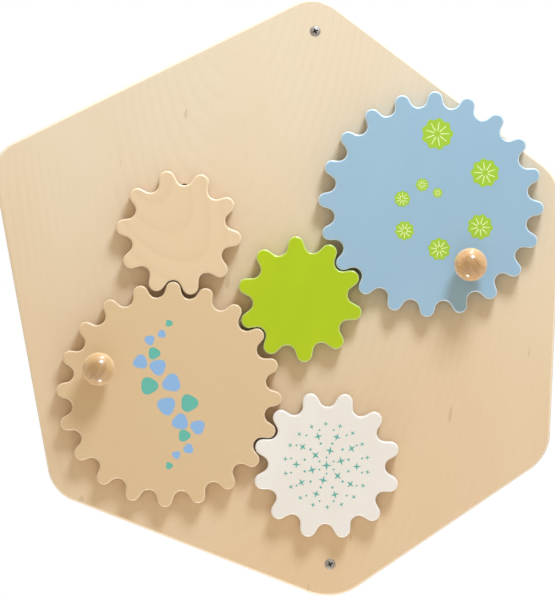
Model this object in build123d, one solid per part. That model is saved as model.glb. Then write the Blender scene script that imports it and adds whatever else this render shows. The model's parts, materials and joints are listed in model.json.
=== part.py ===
"""Wooden crank gear wall toy: a six-cornered plywood board with five meshing gears.

Everything is drawn flat on the wall plane: x to the right, y up the wall, z off the wall
towards the child. The last step stands the board up, so that +Z is up and the front faces -Y.
The origin is on the board's back face, within a millimetre of the middle of its outline.
Sizes are in millimetres.
"""

import os
from math import acos, atan2, cos, degrees, hypot, pi, radians, sin

from build123d import *

# Board: the width and height of its outline before the corners are rounded. Each corner has its place
# across that width and height, measured from the origin, and its own round, clockwise from the top.
board_width = 532.0
board_height = 568.0
top_round = 35.0
upper_right_round = 43.0
lower_right_round = 42.0
bottom_round = 50.0
lower_left_round = 37.0
upper_left_round = 32.0
board_corners = {
    "top": (0.0686, 0.5004, top_round),
    "upper_right": (0.4970, 0.1967, upper_right_round),
    "lower_right": (0.4754, -0.2597, lower_right_round),
    "bottom": (0.0994, -0.4991, bottom_round),
    "lower_left": (-0.3945, -0.3190, lower_left_round),
    "upper_left": (-0.5028, 0.2366, upper_left_round),
}
board_thickness = 15.0
board_front_round = 3.0
board_back_round = 1.0

# Teeth: the module is the pitch diameter per tooth. The other tooth sizes go with it.
module = 10.0
tooth_depth = 1.42 * module
tip_clearance = 0.11 * module
wheel_addendum = 0.46 * module
pinion_addendum = tooth_depth - tip_clearance - wheel_addendum
wheel_tip_round = 0.69 * module
pinion_tip_round = 0.74 * module
root_round = 0.78 * module

# Gears: tooth counts, and the bearing of each gear's centre from the one that drives it.
wheel_teeth = 20
pinion_teeth = 10
white_teeth = 12
large_centre = (-100.4, -89.3)
large_tooth_angle = 15.8
green_bearing = 36.0
blue_bearing = 36.0
small_bearing = 86.6
white_bearing = -24.3
gear_thickness = 12.0
gear_front_round = 2.0
gear_back_round = 0.8

# Bearing of each gear, from the back of the board to the gear.
recess_depth = 7.0
recess_diameter = 26.0
bush_flange_thickness = 3.0
bush_flange_diameter = 30.0
bush_wall = 2.0
axle_diameter = 10.0
axle_head_diameter = 20.0
axle_head_thickness = 4.0
axle_key = 6.0
axle_key_depth = 2.5
thread_diameter = 8.0
thread_length = 8.0
thread_relief_depth = 0.8
thread_relief_length = 1.2
washer_thickness = 1.5
washer_diameter = 22.0
insert_diameter = 12.0
insert_length = 9.0
insert_barb = 0.5
insert_barbs = 4

# Crank knobs. A cross recess is given by its reach, width and depth.
ball_diameter = 31.0
ball_height = 19.5
neck_diameter = 13.0
neck_foot_round = 1.5
tenon_diameter = 10.0
tenon_length = 8.0
blue_knob_radius = 66.5
blue_knob_angle = -57.8
large_knob_radius = 68.5
large_knob_angle = 159.6
knob_screw_diameter = 4.0
knob_screw_length = 26.0
knob_screw_head = 7.5
knob_screw_cross = (4.0, 0.9, 1.4)

# Wall screws, each placed from the board's corner of the same name
wall_screw_offsets = {"top": (-1.4, -36.0), "bottom": (-4.0, 35.7)}
wall_screw_diameter = 5.0
wall_screw_core = 3.6
wall_screw_length = 50.0
wall_screw_head = 10.0
wall_screw_dome = 1.2
wall_screw_point = 6.0
wall_screw_cross = (6.0, 1.4, 2.4)
wall_screw_turn = 25.0

# A spare blind hole, placed from the small gear's centre: its edge shows above that gear
spare_hole_offset = (4.6, 41.0)
spare_hole_diameter = 10.0
spare_hole_depth = 12.0

# Fits
running_clearance = 0.05
end_play = 0.3
passing_clearance = 0.3
bore_end_space = 0.5
seat_clearance = 0.05
hidden_edge = 0.5

# Heights off the wall, worked out from the stack
recess_floor = recess_depth
board_front = board_thickness
flange_front = board_front + bush_flange_thickness
gear_back = flange_front + end_play
washer_back = recess_floor - washer_thickness
head_front = washer_back - end_play


def polar(radius, angle):
    """The point at this radius and angle in degrees."""
    return (radius * cos(radians(angle)), radius * sin(radians(angle)))


def moved(centre, bearing, distance):
    """The point that lies this far from centre, on this bearing in degrees."""
    step = polar(distance, bearing)
    return (centre[0] + step[0], centre[1] + step[1])


def meshing_angle(driver_teeth, driver_angle, teeth, bearing):
    """Where the driven gear's teeth point so that they stand in the driver's gaps."""
    driver_pitch = 360 / driver_teeth
    pitch = 360 / teeth
    ahead = (driver_angle - bearing) / driver_pitch
    return (bearing + 180 - ahead * pitch + pitch / 2) % pitch


def at(place, height=0.0):
    """A location on the wall plane, at a height off the wall."""
    return Pos(place[0], place[1], height)


def disc(diameter, low, high):
    """A round plug between two heights off the wall."""
    return Pos(0, 0, low) * Cylinder(diameter / 2, high - low, align=(Align.CENTER, Align.CENTER, Align.MIN))


def turned(*profile):
    """A turned solid from its half profile: radius and height of each point."""
    outline = Polyline(*[(r, 0, z) for r, z in profile], close=True)
    return revolve(make_face(outline), Axis.Z)


def tooth_face(teeth, addendum, tip_round):
    """The gear's outline: round tips and round gaps, joined by the straight flanks that touch both."""
    tip_radius = module * teeth / 2 + addendum
    root_radius = tip_radius - tooth_depth
    half_pitch = 180 / teeth
    tip_centre = (tip_radius - tip_round, 0.0)
    gap_centre = polar(root_radius + root_round, half_pitch)
    across = (gap_centre[0] - tip_centre[0], gap_centre[1] - tip_centre[1])
    spread = degrees(acos((tip_round + root_round) / hypot(*across)))
    normal = degrees(atan2(across[1], across[0])) - spread
    tip_end = moved(tip_centre, normal, tip_round)
    gap_end = moved(gap_centre, normal + 180, root_round)
    mirrored_tip_end = (tip_end[0], -tip_end[1])
    edges = []
    for tooth in range(teeth):
        turn = Rot(0, 0, 2 * half_pitch * tooth)
        other_gap_end = Vector(gap_end[0], -gap_end[1]).rotate(Axis.Z, 2 * half_pitch)
        parts = [
            ThreePointArc(mirrored_tip_end, (tip_radius, 0), tip_end),
            Line(tip_end, gap_end),
            ThreePointArc(gap_end, polar(root_radius, half_pitch), other_gap_end),
            Line(other_gap_end, Vector(*mirrored_tip_end).rotate(Axis.Z, 2 * half_pitch)),
        ]
        edges += [turn * edge for edge in parts]
    return make_face(edges)


def rounded_plate(face, thickness, front_round, back_round):
    """A flat board cut to a face's outline, with its front and back rims rounded over."""
    plate = extrude(face, thickness)
    plate = fillet(plate.faces().sort_by(Axis.Z)[-1].edges(), front_round)
    return fillet(plate.faces().sort_by(Axis.Z)[0].edges(), back_round)


def corner_point(name):
    """Where this corner of the board would be if it weren't rounded."""
    across, up, _ = board_corners[name]
    return (board_width * across, board_height * up)


def board():
    """The plywood board, with a bearing hole and a recess behind each gear."""
    face = make_face(Polyline(*[corner_point(name) for name in board_corners], close=True))
    for name, (_, _, radius) in board_corners.items():
        corner = face.vertices().sort_by_distance((*corner_point(name), 0))[0]
        face = fillet(corner, radius)
    plate = rounded_plate(face, board_thickness, board_front_round, board_back_round)
    bush_hole = disc(bush_body_diameter + 2 * seat_clearance, 0, board_thickness)
    recess = disc(recess_diameter, 0, recess_floor)
    for gear in gears.values():
        plate -= at(gear["centre"]) * (bush_hole + recess)
    for name, offset in wall_screw_offsets.items():
        plate -= at(corner_point(name)) * at(offset) * wall_screw_hole()
    spare_hole = disc(spare_hole_diameter, board_thickness - spare_hole_depth, board_thickness)
    return plate - at(gears["small"]["centre"]) * at(spare_hole_offset) * spare_hole


def gear_wheel(gear):
    """A gear with its blind insert bore, and the knob's tenon hole and screw hole if it has a knob."""
    face = tooth_face(gear["teeth"], gear["addendum"], gear["tip_round"])
    wheel = rounded_plate(face, gear_thickness, gear_front_round, gear_back_round)
    wheel -= disc(insert_diameter + 2 * seat_clearance, 0, insert_length + bore_end_space)
    wheel = Rot(0, 0, gear["tooth_angle"]) * wheel
    if "knob" in gear:
        tenon_hole = disc(tenon_diameter + 2 * seat_clearance, gear_thickness - tenon_length, gear_thickness)
        wheel -= at(gear["knob"]) * (tenon_hole + knob_screw_body(2 * seat_clearance))
    return wheel


def insert():
    """The brass threaded insert, with barbs that grip the wood."""
    inner = thread_diameter / 2 + seat_clearance
    outer = insert_diameter / 2
    step = insert_length / insert_barbs
    profile = [(inner, 0)]
    for barb in range(insert_barbs):
        profile += [(outer, step * barb), (outer - insert_barb, step * (barb + 1))]
    return turned(*profile, (inner, insert_length))


def axle():
    """The shoulder screw that the gear turns on: a head with a key socket, a plain shoulder, then a
    relief and a thread."""
    back = head_front - axle_head_thickness
    head = axle_head_diameter / 2
    shoulder = axle_diameter / 2
    thread = thread_diameter / 2
    relief = thread - thread_relief_depth
    relief_end = gear_back + thread_relief_length
    end = gear_back + thread_length
    turning = turned(
        (0, back),
        (head - hidden_edge, back),
        (head, back + hidden_edge),
        (head, head_front),
        (shoulder, head_front),
        (shoulder, gear_back),
        (relief, gear_back),
        (relief, relief_end),
        (thread, relief_end),
        (thread, end - hidden_edge),
        (thread - hidden_edge, end),
        (0, end),
    )
    key_corner_radius = axle_key / 2 / cos(pi / 6)
    socket = extrude(RegularPolygon(key_corner_radius, 6), axle_key_depth)
    return turning - Pos(0, 0, back) * socket


def bush():
    """The flanged bush in the board: the axle turns in it, and its flange carries the gear's back."""
    body = disc(bush_body_diameter, recess_floor, board_front)
    flange = disc(bush_flange_diameter, board_front, flange_front)
    flange = fillet(flange.edges().sort_by(Axis.Z)[-1], hidden_edge)
    return body + flange - disc(bush_bore, recess_floor, flange_front)


def washer():
    """The thrust washer between the axle's head and the floor of the recess."""
    return disc(washer_diameter, washer_back, recess_floor) - disc(bush_bore, washer_back, recess_floor)


def knob():
    """The turned knob: a ball on a short neck, with a tenon that is glued into the gear's face."""
    ball = Pos(0, 0, ball_height) * Sphere(ball_diameter / 2)
    neck = disc(neck_diameter, 0, ball_height)
    turning = ball + neck
    waist = turning.edges().filter_by(GeomType.CIRCLE).sort_by(Axis.Z)[1]
    turning = fillet(waist, neck_foot_round)
    tenon = disc(tenon_diameter, -tenon_length, 0)
    return turning + tenon - Pos(0, 0, -gear_thickness) * knob_screw_body(2 * seat_clearance)


def knob_screw():
    """The countersunk screw that holds the knob from behind."""
    return knob_screw_body() - Rot(180, 0, 0) * cross_recess(*knob_screw_cross)


def knob_screw_body(growth=0.0):
    """The knob screw before its recess is cut; a growth makes the hole that it fits."""
    core = (knob_screw_diameter + growth) / 2
    head = (knob_screw_head + growth) / 2
    sink = head - core
    point = knob_screw_length - knob_screw_diameter
    end = knob_screw_length + growth
    return turned((0, 0), (head, 0), (core, sink), (core, point), (0, end))


def wall_screw_hole():
    """The clearance hole and countersink of a wall screw."""
    hole = wall_screw_diameter / 2 + passing_clearance
    head = wall_screw_head / 2 + seat_clearance
    sink_floor = board_front - (head - hole)
    return turned((0, 0), (hole, 0), (hole, sink_floor), (head, board_front), (0, board_front))


def wall_screw():
    """A raised countersunk wood screw with a cross recess; its threaded end stands out behind the board."""
    core = wall_screw_core / 2
    head = wall_screw_head / 2
    thread = wall_screw_diameter / 2
    sink_floor = board_front - (head - core)
    tip = board_front - wall_screw_length
    shank = turned(
        (0, tip),
        (thread, tip + wall_screw_point),
        (thread, 0),
        (core, 0),
        (core, sink_floor),
        (head, board_front),
        (0, board_front),
    )
    dome_radius = (head**2 + wall_screw_dome**2) / (2 * wall_screw_dome)
    dome_top = board_front + wall_screw_dome
    dome_centre = dome_top - dome_radius
    above_board = disc(wall_screw_head, board_front, dome_top + wall_screw_dome)
    dome = Pos(0, 0, dome_centre) * Sphere(dome_radius) & above_board
    recess = Pos(0, 0, dome_top) * Rot(0, 0, wall_screw_turn) * cross_recess(*wall_screw_cross)
    return shank + dome - recess


def cross_recess(reach, width, depth):
    """The screwdriver's cross, narrower towards its floor."""
    arm = Rectangle(reach, width)
    foot = Pos(0, 0, -depth) * Rectangle(reach / 2, width / 2)
    slot = loft([arm, foot])
    return slot + Rot(0, 0, 90) * slot


bush_bore = axle_diameter + 2 * running_clearance
bush_body_diameter = bush_bore + 2 * bush_wall

# The gear train: the large gear drives the green, small and white ones, and the green drives the blue.
wheel_to_pinion = module * (wheel_teeth + pinion_teeth) / 2
wheel_to_white = module * (wheel_teeth + white_teeth) / 2
green_centre = moved(large_centre, green_bearing, wheel_to_pinion)
blue_centre = moved(green_centre, blue_bearing, wheel_to_pinion)
small_centre = moved(large_centre, small_bearing, wheel_to_pinion)
white_centre = moved(large_centre, white_bearing, wheel_to_white)
green_angle = meshing_angle(wheel_teeth, large_tooth_angle, pinion_teeth, green_bearing)

wheel = {"teeth": wheel_teeth, "addendum": wheel_addendum, "tip_round": wheel_tip_round}
pinion = {"teeth": pinion_teeth, "addendum": pinion_addendum, "tip_round": pinion_tip_round}
gears = {
    "large": wheel
    | {
        "centre": large_centre,
        "tooth_angle": large_tooth_angle,
        "knob": polar(large_knob_radius, large_knob_angle),
    },
    "blue": wheel
    | {
        "centre": blue_centre,
        "tooth_angle": meshing_angle(pinion_teeth, green_angle, wheel_teeth, blue_bearing),
        "knob": polar(blue_knob_radius, blue_knob_angle),
    },
    "green": pinion | {"centre": green_centre, "tooth_angle": green_angle},
    "small": pinion
    | {
        "centre": small_centre,
        "tooth_angle": meshing_angle(wheel_teeth, large_tooth_angle, pinion_teeth, small_bearing),
    },
    "white": pinion
    | {
        "teeth": white_teeth,
        "centre": white_centre,
        "tooth_angle": meshing_angle(wheel_teeth, large_tooth_angle, white_teeth, white_bearing),
    },
}


def pieces():
    """Every separate piece by name, still drawn on the wall plane."""
    found = {"board": board()}
    for name, offset in wall_screw_offsets.items():
        found[f"wall_screw_{name}"] = at(corner_point(name)) * at(offset) * wall_screw()
    for name, gear in gears.items():
        spot = at(gear["centre"])
        on_gear = at(gear["centre"], gear_back)
        found[f"{name}_gear"] = on_gear * gear_wheel(gear)
        found[f"{name}_insert"] = on_gear * insert()
        found[f"{name}_axle"] = spot * axle()
        found[f"{name}_bush"] = spot * bush()
        found[f"{name}_washer"] = spot * washer()
        if "knob" in gear:
            knob_place = on_gear * at(gear["knob"])
            found[f"{name}_knob"] = knob_place * Pos(0, 0, gear_thickness) * knob()
            found[f"{name}_knob_screw"] = knob_place * knob_screw()
    return found


os.makedirs("parts", exist_ok=True)
stand_up = Rot(90, 0, 0)
for name, piece in pieces().items():
    export_step(stand_up * piece, f"parts/{name}.step")
for name, gear in gears.items():
    x, z = gear["centre"]
    angle = gear["tooth_angle"]
    print(f"{name} gear: {gear['teeth']} teeth, centre x {x:.3f}, z {z:.3f}, tooth at {angle:.3f} degrees")
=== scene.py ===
# Looks of the wall gear toy: lacquered plywood, painted wheels, printed motifs, studio and camera.
# Lengths are in metres; only the prints are drawn in mm.
import json
import math

import bmesh
import bpy
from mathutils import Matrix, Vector


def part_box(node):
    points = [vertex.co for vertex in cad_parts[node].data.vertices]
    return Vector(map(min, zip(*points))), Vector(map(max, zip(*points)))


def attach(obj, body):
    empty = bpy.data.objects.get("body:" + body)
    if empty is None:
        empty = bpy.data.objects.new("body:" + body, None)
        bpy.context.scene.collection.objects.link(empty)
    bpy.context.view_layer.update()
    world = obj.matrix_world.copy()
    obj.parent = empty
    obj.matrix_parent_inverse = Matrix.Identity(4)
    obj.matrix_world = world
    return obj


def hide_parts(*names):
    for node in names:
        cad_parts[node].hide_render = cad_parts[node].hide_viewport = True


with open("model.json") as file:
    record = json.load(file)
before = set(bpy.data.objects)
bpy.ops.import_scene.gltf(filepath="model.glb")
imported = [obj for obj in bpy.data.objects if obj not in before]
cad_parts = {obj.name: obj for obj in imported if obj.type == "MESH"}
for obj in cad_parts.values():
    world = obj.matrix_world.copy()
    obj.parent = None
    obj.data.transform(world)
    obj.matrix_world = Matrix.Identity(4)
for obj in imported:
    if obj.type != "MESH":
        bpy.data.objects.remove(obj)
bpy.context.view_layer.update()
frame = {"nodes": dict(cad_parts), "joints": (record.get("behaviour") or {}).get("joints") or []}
nodes = frame["nodes"]
hinges = {joint["child"]: Vector(joint["pos_m"]) for joint in frame["joints"]}
mm = 0.001
print("frame loaded,", len(nodes), "pieces")


class Wire:  # one shader socket; arithmetic on it adds the nodes
    def __init__(self, tree, socket=None):
        self.tree = tree
        self.socket = socket

    def add(self, kind, settings=None, inputs=None, output=0):  # any node, by type, settings and sockets
        made = self.tree.nodes.new("ShaderNode" + kind)
        for key, value in (settings or {}).items():
            setattr(made, key, value)
        for key, value in (inputs or {}).items():
            if isinstance(value, Wire):
                self.tree.links.new(value.socket, made.inputs[key])
            else:
                made.inputs[key].default_value = value
        return Wire(self.tree, made.outputs[output])

    def math(self, operation, *values):
        return self.add("Math", {"operation": operation}, dict(enumerate(values)))

    def vector(self, operation, *values):
        return self.add("VectorMath", {"operation": operation}, dict(enumerate(values)))

    def __add__(self, other):
        return self.math("ADD", self, other)

    def __radd__(self, other):
        return self.math("ADD", other, self)

    def __sub__(self, other):
        return self.math("SUBTRACT", self, other)

    def __rsub__(self, other):
        return self.math("SUBTRACT", other, self)

    def __mul__(self, other):
        return self.math("MULTIPLY", self, other)

    def __rmul__(self, other):
        return self.math("MULTIPLY", other, self)

    def __truediv__(self, other):
        return self.math("DIVIDE", self, other)

    def between(self, low, high):  # 0 below low, 1 above high
        return self.add("MapRange", {"interpolation_type": "SMOOTHSTEP"},
                        {"Value": self, "From Min": low, "From Max": high})

    def mixColour(self, first, second):
        return self.add("Mix", {"data_type": "RGBA"}, {"Factor": self, 6: first, 7: second}, output=2)


def srgb(red, green, blue):  # an 8-bit screen colour as a linear one
    levels = [channel / 255 for channel in (red, green, blue)]
    linear = [v / 12.92 if v <= 0.04045 else ((v + 0.055) / 1.055) ** 2.4 for v in levels]
    return (*linear, 1.0)


def newMaterial(name):
    material = bpy.data.materials.new(name)
    material.use_nodes = True
    material.node_tree.nodes.clear()
    return material, Wire(material.node_tree)


def shade(wire, even, varied, bumps=()):  # even values sit on the shader, varied ones are links
    normal = None
    for height, depth in bumps:
        inputs = {"Height": height, "Distance": depth, "Strength": 1.0}
        if normal:
            inputs["Normal"] = normal
        normal = wire.add("Bump", None, inputs)
    links = dict(varied)
    if normal:
        links["Normal"] = normal
    shader = wire.add("BsdfPrincipled", None, {**even, **links})
    out = wire.tree.nodes.new("ShaderNodeOutputMaterial")
    wire.tree.links.new(shader.socket, out.inputs["Surface"])


def dress(material, *names):
    for name in names:
        slots = nodes[name].data.materials
        slots.clear()
        slots.append(material)


# Wood: places are taken from the row's own frame, so the grain turns with its wheel
def grainPlace(wire, centre, angle):
    place = wire.add("TexCoord", output="Object")
    return place.add("Mapping", {"vector_type": "TEXTURE"},
                     {"Vector": place, "Location": centre, "Rotation": (0, math.radians(angle), 0)})


def noise(place, scale, stretch, detail=2.0, roughness=0.5, distortion=0.0):
    stretched = place.vector("MULTIPLY", place, stretch)
    return place.add("TexNoise", None, {"Vector": stretched, "Scale": scale, "Detail": detail,
                                        "Roughness": roughness, "Distortion": distortion}, output="Fac")


birch = {
    "ringPitch": 7.5 * mm, "taper": 0.35, "ringSharpness": 2.6, "ringEdge": 0.90, "ringDepth": 0.42,
    "warp": 0.016, "warpScale": 7.0, "warpStretch": (1, 1, 0.45),
    "uneven": 1.0, "unevenScale": 11.0, "unevenStretch": (1, 1, 0.3),
    "fadeScale": 9.0, "fadeStretch": (1, 1, 0.6), "fade": (0.32, 0.58),
    "window": (0.08, 0.22), "outside": 0.16,
    "grainScale": 1100.0, "grainStretch": (1.0, 1.0, 0.05), "grain": (0.45, 0.72), "grainDepth": 0.03,
    "grainRelief": 0.02 * mm,
    "poreScale": 420.0, "poreStretch": (1.0, 1.0, 0.11), "pore": (0.68, 0.76), "poreDepth": 0.05,
    "fleckScale": 95.0, "fleckStretch": (1.0, 1.0, 0.28), "fleck": (0.765, 0.795), "fleckDepth": 0.30,
    "patchScale": 6.0, "patchStretch": (1.0, 1.0, 0.5), "patch": (0.30, 0.70), "patchShare": 0.28,
    # The next two entries paint light into the face: it grows paler towards the top, as the light falls from
    # above
    "pale": (-0.30, 0.26), "paintedLightShare": 0.72,
    "plies": 11, "roughness": 0.42, "roughSpread": 0.08, "dullScale": 60.0, "dullStretch": (1, 1, 0.4),
    # The last two entries paint a highlight on the rounded front rim: its share and its colour
    "coat": 0.25, "coatRoughness": 0.22, "rim": 0.45, "rimHighlightTone": srgb(250, 240, 222),
}
veneer = {"fibreScale": 1600.0, "fibreStretch": (1, 0.3, 1), "fibre": (0.3, 0.7), "crossing": (-0.12, 0.12),
          "glue": (0.02, 0.09), "glueDepth": 0.35, "faceEnd": 0.96}
# The painted rim highlight starts at a depth measured from the front and ends at shares of the round
rimHighlightEdges = {"start": (0.12 * mm, 0.40 * mm), "end": (0.8, 1.2)}


# Lengthwise cuts through the rings: nested arches, clearest round the flame
def growthRings(place, flame, look):
    spot = place.add("SeparateXYZ", None, {0: place})
    upright = place.add("SeparateXYZ", None, {0: place}, output="Z")
    across = spot + (noise(place, look["warpScale"], look["warpStretch"], 2.5) - 0.5) * (2 * look["warp"])
    along = upright * look["taper"]
    reach = (across * across + along * along).math("SQRT", across * across + along * along)
    uneven = noise(place, look["unevenScale"], look["unevenStretch"], 2.0)
    phase = reach / look["ringPitch"] + uneven * look["uneven"]
    part = phase.math("FRACT", phase)
    line = part.math("POWER", part, look["ringSharpness"]) * (1 - part.between(look["ringEdge"], 1.0))
    away = place.vector("LENGTH", place.vector("SUBTRACT", place, flame))
    near = away.between(*look["window"])
    shown = 1 - near * (1 - look["outside"])
    return line * shown * noise(place, look["fadeScale"], look["fadeStretch"], 2.0).between(*look["fade"])


# Painted highlight: the band on the rounded front rim where a highlight is painted
def rimHighlightBand(depth, rim):  # 1 on the rounded front rim, 0 elsewhere
    nearEnd, farEnd = rimHighlightEdges["end"]
    return depth.between(*rimHighlightEdges["start"]) * (1 - depth.between(rim * nearEnd, rim * farEnd))


def birchColour(wire, place, flame, tones, look):
    light, dark, brown = tones
    spot = wire.add("TexCoord", output="Object")
    height = spot.add("SeparateXYZ", None, {0: spot}, output="Z")
    # Painted light: the face grows paler towards the top; the patches mixed in with it are the veneer's own
    pale = height.between(*look["pale"])
    patches = noise(place, look["patchScale"], look["patchStretch"], 3.0).between(*look["patch"])
    base = (pale * look["paintedLightShare"] + patches * look["patchShare"]).mixColour(dark, light)
    ringed = (growthRings(place, flame, look) * look["ringDepth"]).mixColour(base, brown)
    grain = noise(place, look["grainScale"], look["grainStretch"], 3.0, 0.6)
    streaked = (grain.between(*look["grain"]) * look["grainDepth"]).mixColour(ringed, brown)
    pore = noise(place, look["poreScale"], look["poreStretch"], 1.0).between(*look["pore"])
    pored = (pore * look["poreDepth"]).mixColour(streaked, brown)
    fleck = noise(place, look["fleckScale"], look["fleckStretch"], 1.5).between(*look["fleck"])
    return (fleck * look["fleckDepth"]).mixColour(pored, brown), grain


def plyColour(wire, depth, place, count, thickness, face, tones):  # the plies show where an edge cuts them
    light, dark, brown = tones
    ply = thickness / count
    step = depth / ply
    crossed = (step * math.pi).math("SINE", step * math.pi).between(*veneer["crossing"])
    fibre = noise(place, veneer["fibreScale"], veneer["fibreStretch"], 2.0, 0.6)
    endGrain = fibre.between(*veneer["fibre"]).mixColour(brown, dark)
    longGrain = fibre.between(*veneer["fibre"]).mixColour(dark, light)
    layered = crossed.mixColour(endGrain, longGrain)
    glue = (step - 0.5).math("PINGPONG", step, 0.5)
    lined = (veneer["glueDepth"] * (1 - glue.between(*veneer["glue"]))).mixColour(layered, brown)
    faceEnd = ply * veneer["faceEnd"]
    inside = depth.between(faceEnd, ply) * (1 - depth.between(thickness - ply, thickness - faceEnd))
    return inside.mixColour(face, lined)


def clearPlywood(name, tones, centre, angle, flame, sizes, look):
    front, thickness, rim = sizes
    material, wire = newMaterial(name)
    place = grainPlace(wire, centre, angle)
    face, grain = birchColour(wire, place, flame, tones, look)
    spot = wire.add("TexCoord", output="Object")
    depth = spot.add("SeparateXYZ", None, {0: spot}, output="Y") - front
    layered = plyColour(wire, depth, place, look["plies"], thickness, face, tones)
    # Painted highlight on the rounded front rim
    colour = (rimHighlightBand(depth, rim) * look["rim"]).mixColour(layered, look["rimHighlightTone"])
    dull = noise(place, look["dullScale"], look["dullStretch"], 2.0)
    rough = look["roughness"] - look["roughSpread"] + 2 * look["roughSpread"] * dull
    even = {"IOR": 1.5, "Coat Weight": look["coat"], "Coat Roughness": look["coatRoughness"]}
    shade(wire, even, {"Base Color": colour, "Roughness": rough}, [(grain, look["grainRelief"])])
    return material


boardTones = (srgb(234, 215, 187), srgb(226, 193, 152), srgb(176, 136, 92))
largeTones = (srgb(224, 195, 153), srgb(219, 187, 145), srgb(170, 128, 82))
smallTones = (srgb(231, 204, 166), srgb(227, 198, 158), srgb(180, 136, 88))
faceDepth = {"board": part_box("board"), "wheel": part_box("green_gear")}
boardFront = faceDepth["board"][0].y
boardThickness = faceDepth["board"][1].y - boardFront
wheelFront = faceDepth["wheel"][0].y
wheelThickness = faceDepth["wheel"][1].y - wheelFront

rims = {"board": 3 * mm, "wheel": 2 * mm}  # the front rounds of the CAD
boardSizes = (boardFront, boardThickness, rims["board"])  # front, thickness, rounded rim
wheelSizes = (wheelFront, wheelThickness, rims["wheel"])
ringMiddles = {
    "board": Vector((-0.03, 0, 0.34)), "large": Vector((0.10, 0, -0.21)), "small": Vector((-0.045, 0, 0.09)),
}
ringAngles = {"board": 5, "large": -38, "small": -27}
# Each flame is placed from its ring middle
flames = {"board": (0.0, 0.0, -0.15), "large": (0.0, 0.0, 0.19), "small": (0.0, 0.0, -0.10)}

dress(clearPlywood("boardBirch", boardTones, ringMiddles["board"], ringAngles["board"],
                   flames["board"], boardSizes, birch), "board")
# The wheels keep the board's painted top light, with a weaker painted highlight on their rims
wheelBirch = {**birch, "plies": 9, "rim": 0.25}
largeBirch = {**wheelBirch, "ringPitch": 7.0 * mm, "ringDepth": 0.20, "warp": 0.03, "grainDepth": 0.02,
              "poreDepth": 0.03, "fleckDepth": 0.12, "window": (0.05, 0.12), "outside": 0.15}
dress(clearPlywood("largeWheelBirch", largeTones, hinges["large_wheel"] + ringMiddles["large"],
                   ringAngles["large"], flames["large"], wheelSizes, largeBirch), "large_gear")
smallBirch = {**wheelBirch, "ringPitch": 11.0 * mm, "taper": 0.38, "ringDepth": 0.95, "ringEdge": 0.80,
              "ringSharpness": 3.0, "warp": 0.012, "warpScale": 14.0, "uneven": 0.8, "fade": (0.20, 0.45),
              "grainDepth": 0.02, "window": (0.10, 0.20)}
dress(clearPlywood("smallWheelBirch", smallTones, hinges["small_wheel"] + ringMiddles["small"],
                   ringAngles["small"], flames["small"], wheelSizes, smallBirch), "small_gear")
print("plywood done")


# Paint: satin lacquer in which the veneer under it still shows a little
# Each rim entry is the share of the highlight painted on the wheel's rounded front rim
paints = {
    "green": {"tone": srgb(182, 204, 0), "shadow": srgb(174, 198, 0), "roughness": 0.30, "coat": 0.55,
              "angle": 20, "rim": 0.20},
    "blue": {"tone": srgb(156, 188, 209), "shadow": srgb(151, 184, 206), "roughness": 0.36, "coat": 0.40,
             "angle": 12, "rim": 0.48},
    "white": {"tone": srgb(240, 233, 226), "shadow": srgb(235, 227, 217), "roughness": 0.38, "coat": 0.35,
              "angle": -8, "rim": 0.30},
}
lacquer = {"cloudScale": 14.0, "cloudStretch": (1, 1, 0.5), "cloud": (0.3, 0.7),
           "grainScale": 700.0, "grainStretch": (1, 1, 0.05), "grain": (0.5, 0.75), "grainDepth": 0.10,
           "grainRelief": 0.012 * mm, "peelScale": 260.0, "peelRelief": 0.02 * mm,
           # The last entry is the colour of the highlight painted on the wheels' rounded rims
           "roughSpread": 0.05, "coatRoughness": 0.12, "rimHighlightTone": srgb(238, 243, 246)}


def paintedWheel(name, look):
    material, wire = newMaterial(name + "Lacquer")
    place = grainPlace(wire, hinges[name + "_wheel"], look["angle"])
    cloud = noise(place, lacquer["cloudScale"], lacquer["cloudStretch"], 3.0, 0.6).between(*lacquer["cloud"])
    grain = noise(place, lacquer["grainScale"], lacquer["grainStretch"], 2.0, 0.6)
    spot = wire.add("TexCoord", output="Object")
    depth = spot.add("SeparateXYZ", None, {0: spot}, output="Y") - wheelFront
    mottled = cloud.mixColour(look["tone"], look["shadow"])
    veined = (grain.between(*lacquer["grain"]) * lacquer["grainDepth"]).mixColour(mottled, look["shadow"])
    # Painted highlight on the rounded front rim
    colour = (rimHighlightBand(depth, rims["wheel"]) * look["rim"]).mixColour(veined, lacquer["rimHighlightTone"])
    peel = noise(place, lacquer["peelScale"], (1, 1, 1), 1.0)
    rough = look["roughness"] - lacquer["roughSpread"] + 2 * lacquer["roughSpread"] * cloud
    even = {"IOR": 1.5, "Coat Weight": look["coat"], "Coat Roughness": lacquer["coatRoughness"]}
    bumps = [(grain, lacquer["grainRelief"]), (peel, lacquer["peelRelief"])]
    shade(wire, even, {"Base Color": colour, "Roughness": rough}, bumps)
    return material


for name, look in paints.items():
    dress(paintedWheel(name, look), name + "_gear")
print("paint done")


# Knobs: turned beech under gloss lacquer, with close grain lines; painted shade makes the front darker (dark
# tone) and a painted reflection makes the side paler (light tone and a pale rim)
knobs = {
    "blue": {"light": srgb(218, 170, 114), "dark": srgb(184, 142, 94), "line": srgb(130, 88, 48),
             "angle": -42},
    "large": {"light": srgb(208, 170, 120), "dark": srgb(184, 146, 100), "line": srgb(138, 100, 62),
              "angle": 38},
}
beech = {"pitch": 1.75 * mm, "line": (0.10, 0.75), "depth": 0.62, "relief": -0.01 * mm,
         "sway": 5.0, "swayScale": 90.0, "swayStretch": (1, 1, 0.25),
         "breakScale": 240.0, "breakStretch": (1, 1, 0.3), "break": (0.38, 0.60),
         # The next entries paint shade on the front of the ball and a reflection round its side
         "paintedShadePole": (0.35, 0.90), "rim": (0.80, 0.98), "rimReflectionMix": 0.40, "rimHighlightTone": srgb(246, 218, 180),
         "roughness": 0.32, "coatRoughness": 0.05}


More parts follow.
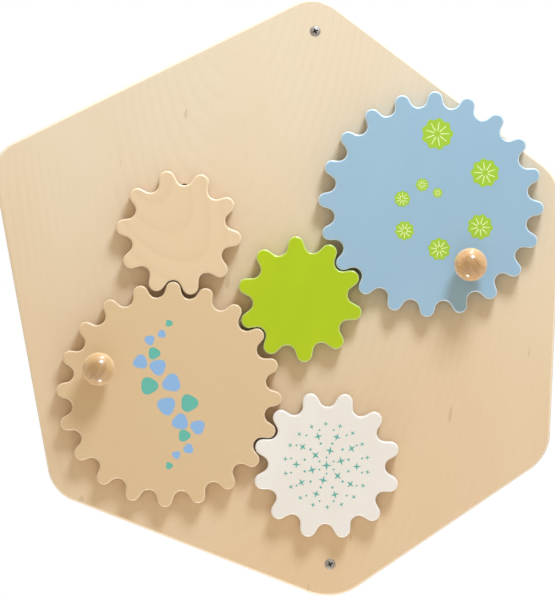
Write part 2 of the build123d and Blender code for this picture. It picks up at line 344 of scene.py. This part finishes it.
def turnedBeech(name, look):
    material, wire = newMaterial(name + "KnobBeech")
    low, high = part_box(name + "_knob")
    place = grainPlace(wire, (low + high) / 2, look["angle"])
    across = place.add("SeparateXYZ", None, {0: place}, output="X")
    upright = place.add("SeparateXYZ", None, {0: place}, output="Z")
    reach = (across * across + upright * upright).math("SQRT", across * across + upright * upright)
    share = reach / ((high.x - low.x) / 2)
    sway = noise(place, beech["swayScale"], beech["swayStretch"], 2.0) * beech["sway"]
    turn = across * (math.tau / beech["pitch"]) + sway
    lines = turn.math("SINE", turn).between(*beech["line"])
    gaps = noise(place, beech["breakScale"], beech["breakStretch"], 1.0)
    broken = lines * gaps.between(*beech["break"])
    # Painted shade: darker at the front pole, lighter towards the side
    base = share.between(*beech["paintedShadePole"]).mixColour(look["dark"], look["light"])
    lined = (broken * beech["depth"]).mixColour(base, look["line"])
    # Painted reflection: paler round the side
    colour = (share.between(*beech["rim"]) * beech["rimReflectionMix"]).mixColour(lined, beech["rimHighlightTone"])
    even = {"IOR": 1.5, "Roughness": beech["roughness"], "Coat Weight": 1.0,
            "Coat Roughness": beech["coatRoughness"]}
    shade(wire, even, {"Base Color": colour}, [(broken, beech["relief"])])
    return material


for name, look in knobs.items():
    dress(turnedBeech(name, look), name + "_knob")
print("knobs done")


# Prints: screen-printed cogs, bubbles and sparks, each shape a thin film on its wheel
ink = {"film": 0.06 * mm, "overlap": 0.04 * mm, "step": 0.04 * mm, "meshScale": 2600.0, "mesh": (0.35, 0.75),
       "meshDepth": 0.5, "relief": 0.01 * mm, "roughness": 0.40, "roughSpread": 0.15, "coat": 0.25,
       "coatRoughness": 0.2}
inks = {
    "lime": {"tone": srgb(161, 200, 48), "thin": srgb(170, 206, 70), "slot": "green_paint"},
    "cream": {"tone": srgb(236, 246, 178), "thin": srgb(214, 232, 140), "slot": "white_paint"},
    "sky": {"tone": srgb(140, 180, 226), "thin": srgb(150, 188, 222), "slot": "blue_paint"},
    "teal": {"tone": srgb(98, 184, 168), "thin": srgb(112, 188, 172), "slot": "blue_paint"},
    "sea": {"tone": srgb(92, 172, 160), "thin": srgb(120, 188, 176), "slot": "blue_paint"},
}


def inkMaterial(name, look):
    material, wire = newMaterial(name + "Ink")
    place = grainPlace(wire, (0, 0, 0), 0)
    mesh = noise(place, ink["meshScale"], (1, 1, 1), 1.0)
    colour = (mesh.between(*ink["mesh"]) * ink["meshDepth"]).mixColour(look["tone"], look["thin"])
    rough = ink["roughness"] + ink["roughSpread"] * mesh
    shade(wire, {"IOR": 1.45, "Coat Weight": ink["coat"], "Coat Roughness": ink["coatRoughness"]},
          {"Base Color": colour, "Roughness": rough}, [(mesh, ink["relief"])])
    return material


inkMaterials = {name: inkMaterial(name, look) for name, look in inks.items()}


def polarPoint(radius, angle, centre=(0, 0)):
    turn = math.radians(angle)
    return (centre[0] + radius * math.cos(turn), centre[1] + radius * math.sin(turn))


def wavyDisc(radius, lobes, swing, turn=0.0, steps=72):
    angles = [360 * k / steps for k in range(steps)]
    return [polarPoint(radius * (1 + swing * math.cos(math.radians(lobes * a))), a + turn) for a in angles]


def spark(radius, points, waist, turn=0.0):  # a star with straight rays
    radii = [radius if k % 2 == 0 else radius * waist for k in range(2 * points)]
    return [polarPoint(r, turn + 180 * k / points) for k, r in enumerate(radii)]


def bar(inner, outer, width, angle):  # a spoke, round the origin
    side = [(inner, -width / 2), (outer, -width / 3), (outer + width / 3, 0), (outer, width / 3),
            (inner, width / 2)]
    return [polarPoint(math.hypot(x, y), angle + math.degrees(math.atan2(y, x))) for x, y in side]


def shifted(outline, centre):
    return [(x + centre[0], y + centre[1]) for x, y in outline]


def printFilm(name, inkName, wheel, outlines, layer=0):  # outlines are in mm about the wheel's axle
    centre = hinges[wheel]
    front = wheelFront - ink["film"] - layer * ink["step"]
    back = wheelFront + ink["overlap"]
    corners, faces = [], []
    for outline in outlines:
        start, count = len(corners), len(outline)
        for y in (front, back):
            corners += [(centre.x + u * mm, y, centre.z + v * mm) for u, v in outline]
        faces.append([start + k for k in range(count)])
        faces.append([start + count + k for k in reversed(range(count))])
        for k in range(count):
            after = (k + 1) % count
            faces.append([start + after, start + k, start + count + k, start + count + after])
    mesh = bpy.data.meshes.new(name)
    mesh.from_pydata(corners, [], faces)
    mesh.materials.append(inkMaterials[inkName])
    film = bpy.data.objects.new(name, mesh)
    bpy.context.scene.collection.objects.link(film)
    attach(film, wheel)


cogSpiral = {"count": 8, "firstAngle": 60, "angleStep": 55, "firstRadius": 12.0, "radiusStep": 7.6,
             "smallest": 4.5, "growth": 1.35, "lobes": 9, "swing": 0.07, "turnStep": 23,
             "spoke": 1.1, "spokeShare": 0.12, "spokeReach": (0.22, 0.78)}


def printCogs():
    discs, lines = [], []
    hub, tip = cogSpiral["spokeReach"]
    for k in range(cogSpiral["count"]):
        place = polarPoint(cogSpiral["firstRadius"] + cogSpiral["radiusStep"] * k,
                           cogSpiral["firstAngle"] + cogSpiral["angleStep"] * k)
        radius = cogSpiral["smallest"] + cogSpiral["growth"] * k
        turn = cogSpiral["turnStep"] * k
        discs.append(shifted(wavyDisc(radius, cogSpiral["lobes"], cogSpiral["swing"], turn), place))
        width = min(cogSpiral["spoke"], radius * cogSpiral["spokeShare"])
        for spoke in range(cogSpiral["lobes"]):
            angle = turn + 360 * spoke / cogSpiral["lobes"]
            lines.append(shifted(bar(radius * hub, radius * tip, width, angle), place))
    printFilm("blue_print_cogs", "lime", "blue_wheel", discs)
    printFilm("blue_print_spokes", "cream", "blue_wheel", lines, layer=1)


bubbleStream = {"count": 16, "height": 132.0, "swing": 20.0, "sway": 9.0, "small": 3.2, "large": 8.2,
                "swell": 1.5, "lobes": 3, "lobeSwing": 0.10, "turnStep": 40}


def printBubbles():  # an S from the bottom to the top, with bubbles on its two sides in turn
    discs = {"sky": [], "teal": []}
    for k in range(bubbleStream["count"]):
        along = k / (bubbleStream["count"] - 1)
        slope = bubbleStream["swing"] * math.tau * math.cos(math.tau * along)
        length = math.hypot(slope, bubbleStream["height"])
        sway = bubbleStream["sway"] * (1 if k % 2 else -1) * math.sin(math.pi * along)
        place = (bubbleStream["swing"] * math.sin(math.tau * along) - sway * bubbleStream["height"] / length,
                 bubbleStream["height"] * (along - 0.5) + sway * slope / length)
        swell = math.sin(math.pi * along) ** bubbleStream["swell"]
        radius = bubbleStream["small"] + (bubbleStream["large"] - bubbleStream["small"]) * swell
        colour = "sky" if k % 3 else "teal"
        turn = bubbleStream["turnStep"] * k
        bubble = wavyDisc(radius, bubbleStream["lobes"], bubbleStream["lobeSwing"], turn)
        discs[colour].append(shifted(bubble, place))
    printFilm("large_print_sky", "sky", "large_wheel", discs["sky"])
    printFilm("large_print_teal", "teal", "large_wheel", discs["teal"])


sparkRings = [(0, 1, 4.8), (14.0, 6, 4.4), (28.0, 10, 4.0), (38.5, 18, 2.6)]  # from the axle, how many, size
dotRings = [(7.5, 6, 0.9), (21.0, 12, 1.1), (33.5, 16, 0.9)]
sparkLook = {"rays": 4, "waist": 0.30, "ringTurn": 17, "dotSteps": 16}


def printSparks():
    marks = []
    for ring, (distance, count, radius) in enumerate(sparkRings):
        for k in range(count):
            angle = 360 * k / count + sparkLook["ringTurn"] * ring
            mark = spark(radius, sparkLook["rays"], sparkLook["waist"], angle)
            marks.append(shifted(mark, polarPoint(distance, angle)))
    for distance, count, radius in dotRings:
        for k in range(count):
            dot = wavyDisc(radius, 3, 0.0, 0, sparkLook["dotSteps"])  # without a swing the lobes don't show
            marks.append(shifted(dot, polarPoint(distance, 360 * (k + 0.5) / count)))
    printFilm("white_print_sparks", "sea", "white_wheel", marks)


printCogs()
printBubbles()
printSparks()
print("prints done")


# Metal and nylon
metals = {
    "wallScrew": {"tone": srgb(176, 170, 162), "roughness": 0.60, "turning": 3000.0},
    "axle": {"tone": srgb(196, 196, 196), "roughness": 0.34, "turning": 2000.0},
    "insert": {"tone": srgb(214, 178, 104), "roughness": 0.32, "turning": 2000.0},
}
metalFinish = {"smudgeScale": 300.0, "roughSpread": 0.08, "relief": 0.01 * mm}
# recess paints shade into the cross of the wall screw heads: how deep, how wide, how strong and its colour
recess = {"deep": (0.7 * mm, 1.1 * mm), "bottom": (6 * mm, 7 * mm), "reach": (3.3 * mm, 3.5 * mm),
          "mix": 0.85, "tone": srgb(52, 46, 40)}


def turnedMetal(name, look, centre, headTop=None):
    material, wire = newMaterial(name)
    place = grainPlace(wire, centre, 0)
    across = place.add("SeparateXYZ", None, {0: place}, output="X")
    upright = place.add("SeparateXYZ", None, {0: place}, output="Z")
    radius = (across * across + upright * upright).math("SQRT", across * across + upright * upright)
    turned = radius.add("TexNoise", {"noise_dimensions": "1D"},
                        {"W": radius, "Scale": look["turning"], "Detail": 2.0}, output="Fac")
    smudge = noise(place, metalFinish["smudgeScale"], (1, 1, 1), 2.0)
    rough = look["roughness"] - metalFinish["roughSpread"] + 2 * metalFinish["roughSpread"] * smudge
    varied = {"Roughness": rough}
    even = {"Metallic": 1.0, "Base Color": look["tone"]}
    if headTop is not None:  # painted shade in the cross recess
        spot = wire.add("TexCoord", output="Object")
        depth = spot.add("SeparateXYZ", None, {0: spot}, output="Y") - headTop
        recessShade = depth.between(*recess["deep"]) * (1 - depth.between(*recess["bottom"]))
        inside = recessShade * (1 - radius.between(*recess["reach"]))
        varied["Base Color"] = (inside * recess["mix"]).mixColour(look["tone"], recess["tone"])
        del even["Base Color"]
    shade(wire, even, varied, [(turned, metalFinish["relief"])])
    return material


nylon = {"speckScale": 1500.0, "speck": (0.3, 0.7), "speckDepth": 0.3, "roughness": 0.45, "roughSpread": 0.2,
         "relief": 0.01 * mm}


def plainNylon(name, tone, dusty):
    material, wire = newMaterial(name)
    place = grainPlace(wire, (0, 0, 0), 0)
    speck = noise(place, nylon["speckScale"], (1, 1, 1), 2.0)
    colour = (speck.between(*nylon["speck"]) * nylon["speckDepth"]).mixColour(tone, dusty)
    rough = nylon["roughness"] + nylon["roughSpread"] * speck
    shade(wire, {"IOR": 1.5}, {"Base Color": colour, "Roughness": rough}, [(speck, nylon["relief"])])
    return material


thread = {"pitch": 2.4 * mm, "crest": 2.5 * mm, "core": 1.75 * mm, "start": -2 * mm, "point": 7 * mm,
          "flank": 0.28, "tip": 0.1 * mm, "sides": 32, "row": 0.24 * mm, "weld": 0.002 * mm, "sunk": 0.3 * mm}


def threadRadius(y, turn, end):  # narrow crests on a straight core that runs out to a point
    part = (y / thread["pitch"] - turn) % 1
    ridge = max(0.0, 1 - abs(part - 0.5) / thread["flank"])
    taper = min(1.0, (end - y) / thread["point"])
    runOut = min(1.0, max(0.0, y - thread["start"]) / thread["pitch"])
    return (thread["core"] + (thread["crest"] - thread["core"]) * ridge * runOut) * taper


def threadedScrew(name):  # the head as it is, with a cut thread where the shank leaves the board
    low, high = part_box(name)
    centre = (low + high) / 2
    made = bmesh.new()
    made.from_mesh(nodes[name].data)
    made.transform(nodes[name].matrix_world)
    bmesh.ops.remove_doubles(made, verts=made.verts, dist=thread["weld"])
    everything = made.verts[:] + made.edges[:] + made.faces[:]
    cut = bmesh.ops.bisect_plane(made, geom=everything, plane_co=(0, thread["start"], 0), plane_no=(0, 1, 0),
                                 clear_outer=True)
    rim = [piece for piece in cut["geom_cut"] if isinstance(piece, bmesh.types.BMEdge)]
    bmesh.ops.holes_fill(made, edges=rim)
    first = thread["start"] - thread["sunk"]
    rows = int((high.y - first) / thread["row"])
    rings = []
    for row in range(rows):
        y = first + row * thread["row"]
        ring = []
        for side in range(thread["sides"]):
            turn = side / thread["sides"]
            radius = max(threadRadius(y, turn, high.y), thread["tip"])
            ring.append(made.verts.new((centre.x + radius * math.cos(turn * math.tau), y,
                                        centre.z + radius * math.sin(turn * math.tau))))
        rings.append(ring)
    for lower, upper in zip(rings, rings[1:]):
        for side in range(thread["sides"]):
            after = (side + 1) % thread["sides"]
            made.faces.new((lower[side], lower[after], upper[after], upper[side])).smooth = True
    made.faces.new(rings[0])
    made.faces.new(rings[-1])
    bmesh.ops.recalc_face_normals(made, faces=made.faces)
    mesh = bpy.data.meshes.new(name + "_threaded")
    made.to_mesh(mesh)
    made.free()
    mesh.materials.append(turnedMetal(name + "Zinc", metals["wallScrew"], centre, low.y))
    screw = bpy.data.objects.new(name + "_threaded", mesh)
    bpy.context.scene.collection.objects.link(screw)
    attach(screw, "panel")
    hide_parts(name)


for name in ("wall_screw_top", "wall_screw_bottom"):
    threadedScrew(name)
for wheel, centre in hinges.items():
    station = wheel.removesuffix("_wheel")
    dress(turnedMetal(station + "AxleZinc", metals["axle"], centre), station + "_axle")
    dress(turnedMetal(station + "InsertBrass", metals["insert"], centre), station + "_insert")
    if station in knobs:
        low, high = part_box(station + "_knob_screw")
        knobScrewZinc = turnedMetal(station + "KnobScrewZinc", metals["axle"], (low + high) / 2)
        dress(knobScrewZinc, station + "_knob_screw")
nylonWhite = plainNylon("bushNylon", srgb(226, 222, 210), srgb(200, 196, 184))
nylonBlack = plainNylon("washerNylon", srgb(44, 44, 46), srgb(70, 70, 72))
for wheel in hinges:
    station = wheel.removesuffix("_wheel")
    dress(nylonWhite, station + "_bush")
    dress(nylonBlack, station + "_washer")
print("metal and nylon done")


# Studio: a bright tent all round, one key light high on the right, and one rake light above and one below
studio = {
    "viewWidth": 0.514, "imageWidth": 555, "imageHeight": 596, "distance": 3.0, "sensor": 36.0,
    "tentFront": (0.47, 0.41, 0.31, 1), "tentSides": (1.36, 1.20, 0.94, 1), "tentBack": (0.62, 0.61, 0.60, 1),
    "backToSides": (-0.5, 0.0), "sidesToFront": (0.0, 0.6), "backdrop": (1, 1, 1, 1),
    "floorDrop": 1.1, "floorSize": 16.0, "floorCloud": 3.0, "floorRoughness": 0.8,
    "floorTones": (srgb(238, 238, 236), srgb(232, 232, 230)),
}
lamps = {
    "key": {"towards": (0.27, -0.53, 0.80), "away": 2.2, "size": 0.70, "power": 43.0,
            "tone": (0.69, 0.82, 1.0)},
    "topRake": {"towards": (0.20, 0.02, 0.98), "away": 1.5, "size": 0.25, "power": 9.0, "tone": (1, 1, 1)},
    "lowRake": {"towards": (-0.07, -0.10, -0.99), "away": 0.9, "size": 0.22, "power": 1.8,
                "tone": (1, 1, 1)},
}


def addCamera():
    data = bpy.data.cameras.new("camera")
    camera = bpy.data.objects.new("camera", data)
    bpy.context.scene.collection.objects.link(camera)
    data.sensor_width = studio["sensor"]
    viewHeight = studio["viewWidth"] * studio["imageHeight"] / studio["imageWidth"]
    data.lens = studio["sensor"] * studio["distance"] / viewHeight
    camera.location = (0, wheelFront - studio["distance"], 0)
    camera.rotation_euler = (math.radians(90), 0, 0)
    bpy.context.scene.camera = camera


def addLamp(name, look):
    data = bpy.data.lights.new(name, "AREA")
    data.shape = "DISK"
    data.size = look["size"]
    data.energy = look["power"]
    data.color = look["tone"]
    lamp = bpy.data.objects.new(name, data)
    bpy.context.scene.collection.objects.link(lamp)
    direction = Vector(look["towards"]).normalized()
    lamp.location = direction * look["away"] + Vector((0, boardFront, 0))
    lamp.rotation_euler = direction.to_track_quat("Z", "Y").to_euler()


def addTent():
    world = bpy.data.worlds.new("tent")
    bpy.context.scene.world = world
    world.use_nodes = True
    world.node_tree.nodes.clear()
    wire = Wire(world.node_tree)
    way = wire.add("TexCoord", output="Generated")
    forward = 0 - way.add("SeparateXYZ", None, {0: way}, output="Y")
    behind = forward.between(*studio["backToSides"]).mixColour(studio["tentBack"], studio["tentSides"])
    lit = forward.between(*studio["sidesToFront"]).mixColour(behind, studio["tentFront"])
    seen = wire.add("LightPath", output="Is Camera Ray")
    glow = wire.add("Background", None, {"Color": seen.mixColour(lit, studio["backdrop"]), "Strength": 1.0})
    out = world.node_tree.nodes.new("ShaderNodeOutputWorld")
    world.node_tree.links.new(glow.socket, out.inputs["Surface"])


def addFloor():
    half = studio["floorSize"] / 2
    mesh = bpy.data.meshes.new("floor")
    corners = [(-half, -half, 0), (half, -half, 0), (half, half, 0), (-half, half, 0)]
    mesh.from_pydata(corners, [], [(0, 1, 2, 3)])
    floor = bpy.data.objects.new("floor", mesh)
    bpy.context.scene.collection.objects.link(floor)
    floor.location = (0, 0, -studio["floorDrop"])
    material, wire = newMaterial("paleFloor")
    place = grainPlace(wire, (0, 0, 0), 0)
    cloud = noise(place, studio["floorCloud"], (1, 1, 1), 2.0)
    colour = cloud.mixColour(*studio["floorTones"])
    shade(wire, {"Roughness": studio["floorRoughness"]}, {"Base Color": colour})
    mesh.materials.append(material)


addCamera()
for name, look in lamps.items():
    addLamp(name, look)
addTent()
addFloor()
bpy.context.scene.view_settings.view_transform = "Standard"
print("studio done")
